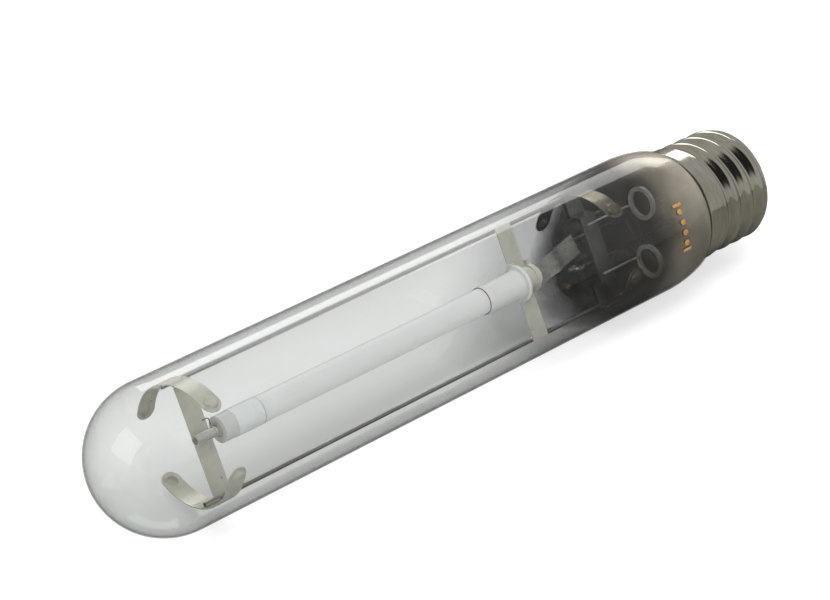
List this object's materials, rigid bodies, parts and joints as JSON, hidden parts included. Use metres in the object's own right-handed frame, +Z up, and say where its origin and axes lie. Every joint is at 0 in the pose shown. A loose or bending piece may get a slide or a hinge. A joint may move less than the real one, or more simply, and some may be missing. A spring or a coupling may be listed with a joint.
{
  "type": "grow lamp",
  "caption": "Clear tubular high-pressure discharge grow lamp: round-domed glass tube, ceramic arc tube on a two-rod sprung frame, getter-darkened neck and a large screw cap.",
  "frame": {"origin": "centre of the cap's centre-contact face", "axes": "+X out of the centre contact along the lamp's axis, so the glass dome points to -X; +Z up with the lamp lying on its side; the frame's two rods lie in a plane rolled 28.9 degrees from vertical"},
  "size_m": [0.28, 0.048, 0.048],
  "materials": {
    "clear_glass": "clear hard glass, silvered by the getter towards the cap",
    "alumina": "milky translucent sintered alumina",
    "white_ceramic": "smooth white ceramic",
    "cap_metal": "nickel-plated brass, rolled",
    "black_glass": "black vitrite glass",
    "cement": "baked basing cement",
    "tungsten": "grey tungsten",
    "solder": "dull solder",
    "bright_wire": "bright drawn nickel or niobium",
    "getter_steel": "dark steel channel",
    "nickel_strip": "matte nickel strip and wire"
  },
  "bodies": {
    "lamp": {"arc_lead_wire": "nickel_strip", "basing_cement": "cement", "bush_retainer": "nickel_strip", "bush_strap": "nickel_strip", "cap_insulator": "black_glass", "cap_shell": "cap_metal", "ceramic_bush": "white_ceramic", "contact_lead": "nickel_strip", "contact_plate": "cap_metal", "contact_solder": "solder", "dome_spring_lower": "nickel_strip", "dome_spring_upper": "nickel_strip", "dome_strap": "nickel_strip", "exhaust_tube": "clear_glass", "flex_ribbon": "nickel_strip", "frame_lead_wire": "nickel_strip", "getter_ring_lower": "getter_steel", "getter_ring_upper": "getter_steel", "getter_wire_lower": "nickel_strip", "getter_wire_upper": "nickel_strip", "guide_sleeve": "bright_wire", "lower_frame_rod": "bright_wire", "outer_bulb": "clear_glass", "shell_lead": "nickel_strip", "side_weld": "solder", "stem_clamp_front": "nickel_strip", "stem_clamp_rear": "nickel_strip", "stem_flare": "clear_glass", "stem_press": "clear_glass", "stem_spring_lower": "nickel_strip", "stem_spring_upper": "nickel_strip", "upper_frame_rod": "bright_wire"},
    "arc_tube_unit": {"amalgam_pellet": "solder", "arc_tube": "alumina", "base_electrode": "tungsten", "base_electrode_coil": "tungsten", "base_frit_seal": "alumina", "base_niobium_tube": "bright_wire", "base_plug": "alumina", "dome_electrode": "tungsten", "dome_electrode_coil": "tungsten", "dome_frit_seal": "alumina", "dome_niobium_tube": "bright_wire", "dome_plug": "alumina", "heat_sleeve": "alumina", "jumper_wire": "nickel_strip", "stop_ring": "bright_wire"}
  },
  "joints": [
    {"name": "arc_tube_float", "type": "slide", "parent": "lamp", "child": "arc_tube_unit", "axis": [-1, 0, 0], "range_m": [0, 0.0009]}
  ]
}
